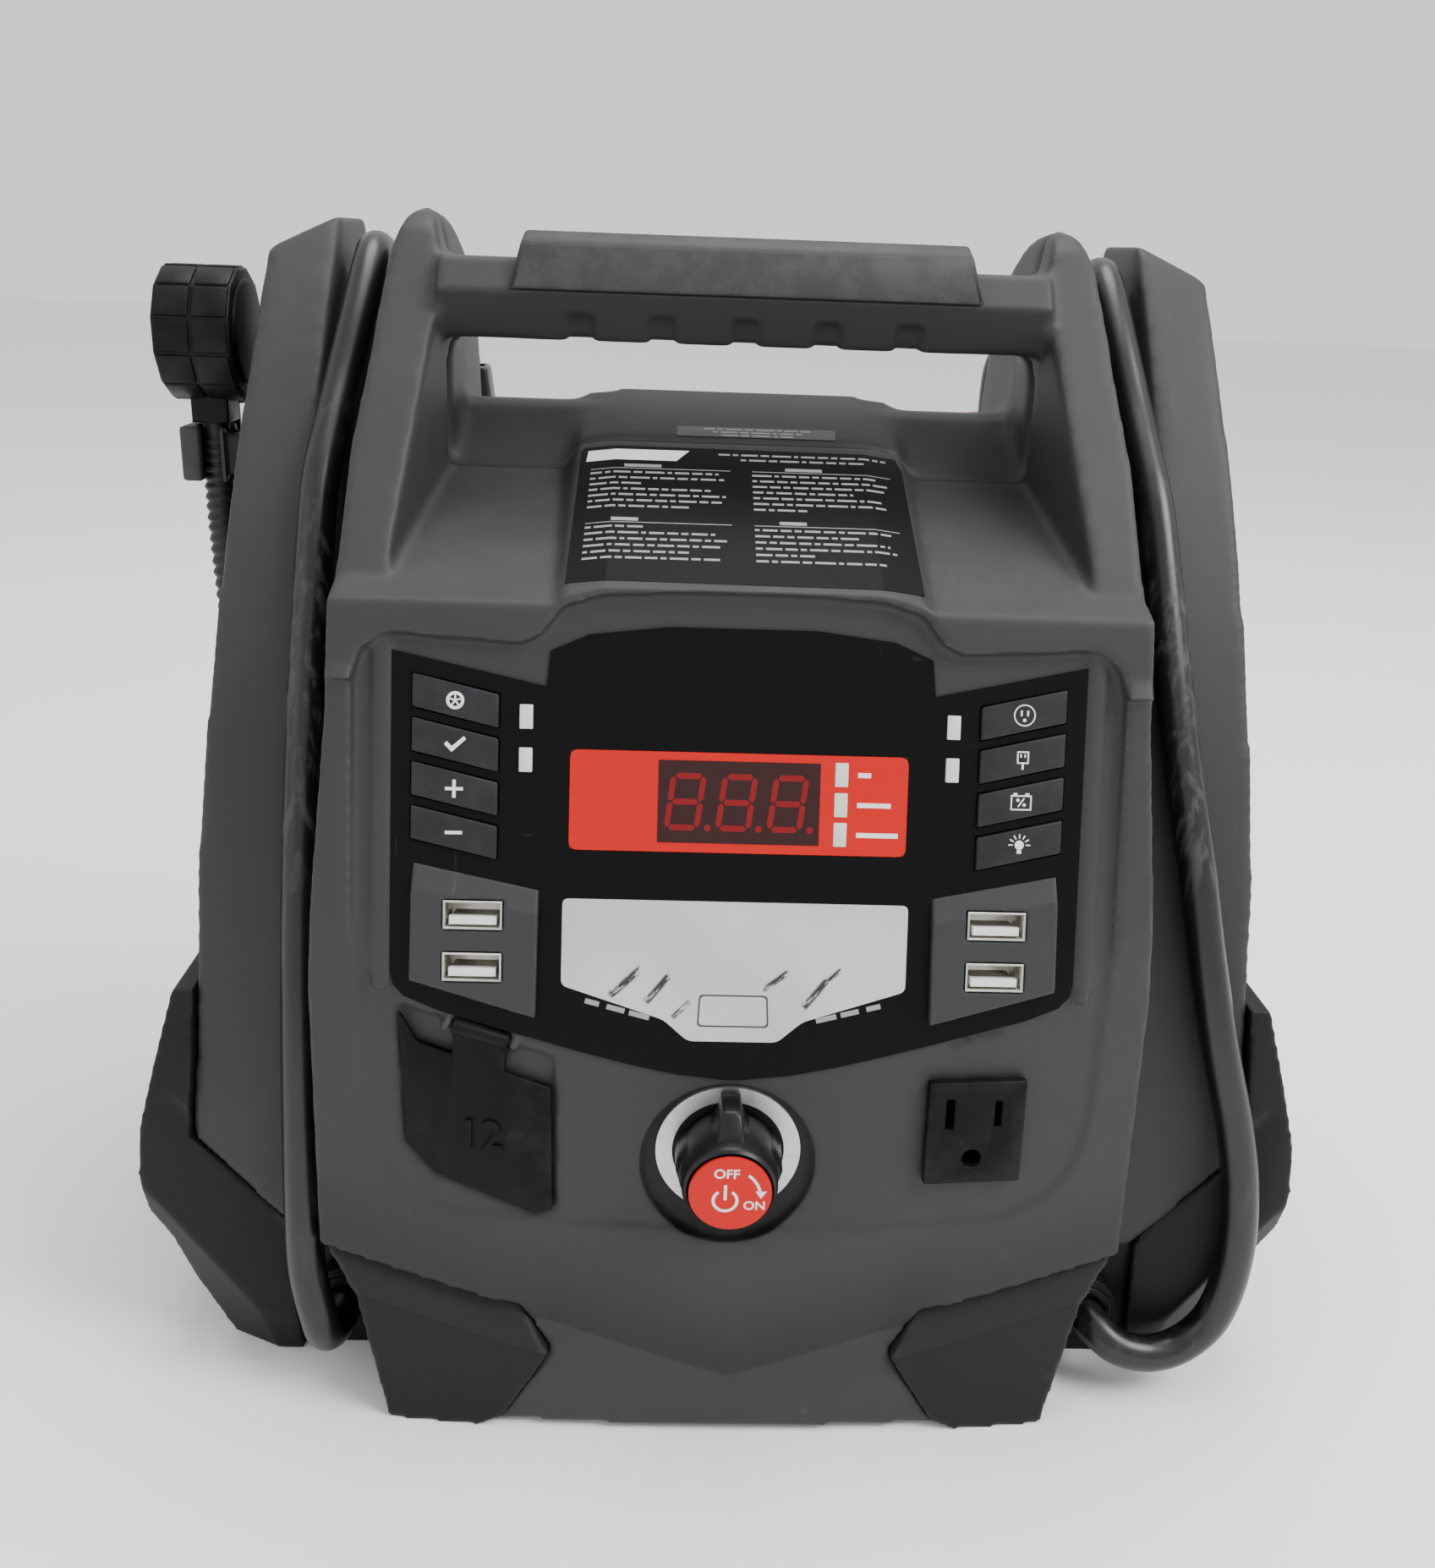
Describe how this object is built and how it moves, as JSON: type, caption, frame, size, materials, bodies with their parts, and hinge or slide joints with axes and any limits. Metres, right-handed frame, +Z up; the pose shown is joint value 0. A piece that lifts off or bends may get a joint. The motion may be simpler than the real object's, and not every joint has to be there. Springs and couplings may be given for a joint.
{
  "type": "jump starter pack",
  "caption": "Portable battery pack in a carry case with jumper clamps, air compressor hose, outlet, USB ports, 12 V socket, display and work light",
  "frame": {"origin": "On the floor, in the middle of the width, under the middle of the case", "axes": "X runs to the right across the control panel, Y to the back and Z up; the control panel faces -Y"},
  "size_m": [0.326, 0.2168, 0.308],
  "materials": {
    "housing": "matte fine-grained moulding",
    "black_plastic": "matte moulded",
    "keys": "smooth satin",
    "red_label": "satin printed film",
    "window": "glossy tinted film",
    "lens": "translucent white",
    "plate": "worn brushed foil",
    "board": "circuit board",
    "steel": "bright steel",
    "cable": "worn semi-gloss rubber",
    "clamp_black": "satin moulded grip",
    "clamp_red": "satin moulded grip",
    "battery_case": "moulded battery case",
    "strap": "woven strap"
  },
  "bodies": {
    "case": {"front_shell": "housing", "rear_shell": "housing", "base_plate": "black_plastic", "bumper_left": "black_plastic", "bumper_right": "black_plastic", "handle_grip": "housing", "panel_overlay": "black_plastic", "display_label": "red_label", "display_window": "window", "display_module": "black_plastic", "indicator_lenses": "lens", "nameplate": "plate", "control_board": "board", "usb_pod_left": "housing", "usb_pod_right": "housing", "usb_port_left_top": "steel", "usb_port_left_low": "steel", "usb_port_right_top": "steel", "usb_port_right_low": "steel", "knob_dial": "plate", "battery_switch": "black_plastic", "cover_pin": "steel", "dc_socket": "black_plastic", "ac_outlet": "black_plastic", "cable_gland_left": "black_plastic", "cable_gland_right": "black_plastic", "jumper_cable_left": "cable", "jumper_cable_right": "cable", "clamp_left_fixed": "clamp_black", "clamp_left_pin": "steel", "clamp_right_fixed": "clamp_red", "clamp_right_pin": "steel", "clamp_springs": "steel", "air_hose": "cable", "hose_fitting": "black_plastic", "chuck_body": "black_plastic", "chuck_bracket": "housing", "ac_inlet": "black_plastic", "light_lens": "lens", "case_screws": "steel", "battery": "battery_case", "battery_strap": "strap", "compressor": "steel", "inverter": "board"},
    "key_tyre_body": {"key_tyre": "keys"},
    "key_set_body": {"key_set": "keys"},
    "key_plus_body": {"key_plus": "keys"},
    "key_minus_body": {"key_minus": "keys"},
    "key_outlet_body": {"key_outlet": "keys"},
    "key_usb_body": {"key_usb": "keys"},
    "key_battery_body": {"key_battery": "keys"},
    "key_light_body": {"key_light": "keys"},
    "knob": {"power_knob": "black_plastic", "knob_disc": "red_label"},
    "cover": {"socket_cover": "black_plastic"},
    "clamp_left_jaw": {"clamp_left_moving": "clamp_black"},
    "clamp_right_jaw": {"clamp_right_moving": "clamp_red"},
    "lever": {"chuck_lever": "black_plastic"},
    "flap": {"inlet_flap": "black_plastic"},
    "fan": {"fan_rotor": "black_plastic"}
  },
  "joints": [
    {"name": "key_tyre_press", "type": "slide", "parent": "case", "child": "key_tyre_body", "axis": [0, 0.9636, -0.2672], "range_m": [0, 0.0008], "stiffness_N_per_m": 500, "springref_m": -0.001},
    {"name": "key_set_press", "type": "slide", "parent": "case", "child": "key_set_body", "axis": [0, 0.9636, -0.2672], "range_m": [0, 0.0008], "stiffness_N_per_m": 500, "springref_m": -0.001},
    {"name": "key_plus_press", "type": "slide", "parent": "case", "child": "key_plus_body", "axis": [0, 0.9636, -0.2672], "range_m": [0, 0.0008], "stiffness_N_per_m": 500, "springref_m": -0.001},
    {"name": "key_minus_press", "type": "slide", "parent": "case", "child": "key_minus_body", "axis": [0, 0.9636, -0.2672], "range_m": [0, 0.0008], "stiffness_N_per_m": 500, "springref_m": -0.001},
    {"name": "key_outlet_press", "type": "slide", "parent": "case", "child": "key_outlet_body", "axis": [0, 0.9636, -0.2672], "range_m": [0, 0.0008], "stiffness_N_per_m": 500, "springref_m": -0.001},
    {"name": "key_usb_press", "type": "slide", "parent": "case", "child": "key_usb_body", "axis": [0, 0.9636, -0.2672], "range_m": [0, 0.0008], "stiffness_N_per_m": 500, "springref_m": -0.001},
    {"name": "key_battery_press", "type": "slide", "parent": "case", "child": "key_battery_body", "axis": [0, 0.9636, -0.2672], "range_m": [0, 0.0008], "stiffness_N_per_m": 500, "springref_m": -0.001},
    {"name": "key_light_press", "type": "slide", "parent": "case", "child": "key_light_body", "axis": [0, 0.9636, -0.2672], "range_m": [0, 0.0008], "stiffness_N_per_m": 500, "springref_m": -0.001},
    {"name": "knob_turn", "type": "hinge", "parent": "case", "child": "knob", "pos_m": [0, -0.0969, 0.084], "axis": [0, 1, 0], "range_deg": [0, 90]},
    {"name": "cover_hinge", "type": "hinge", "parent": "case", "child": "cover", "pos_m": [-0.0628, -0.09284, 0.11465], "axis": [-0.9559, 0, 0.2936], "range_deg": [0, 130]},
    {"name": "clamp_left_pivot", "type": "hinge", "parent": "case", "child": "clamp_left_jaw", "pos_m": [-0.064, 0.07746, 0.178], "axis": [0, -1, 0], "range_deg": [0, 22], "stiffness_Nm_per_rad": 1, "springref_deg": -17.19},
    {"name": "clamp_right_pivot", "type": "hinge", "parent": "case", "child": "clamp_right_jaw", "pos_m": [0.064, 0.07746, 0.168], "axis": [0, 1, 0], "range_deg": [0, 22], "stiffness_Nm_per_rad": 1, "springref_deg": -17.19},
    {"name": "lever_swing", "type": "hinge", "parent": "case", "child": "lever", "pos_m": [-0.156, 0.053, 0.254], "axis": [1, 0, 0], "range_deg": [0, 80]},
    {"name": "flap_hinge", "type": "hinge", "parent": "case", "child": "flap", "pos_m": [0.034, 0.097, 0.06815], "axis": [1, 0, 0], "range_deg": [0, 110]},
    {"name": "fan_spin", "type": "hinge", "parent": "case", "child": "fan", "pos_m": [-0.129, 0.008, 0.136], "axis": [1, 0, 0], "continuous": true}
  ]
}
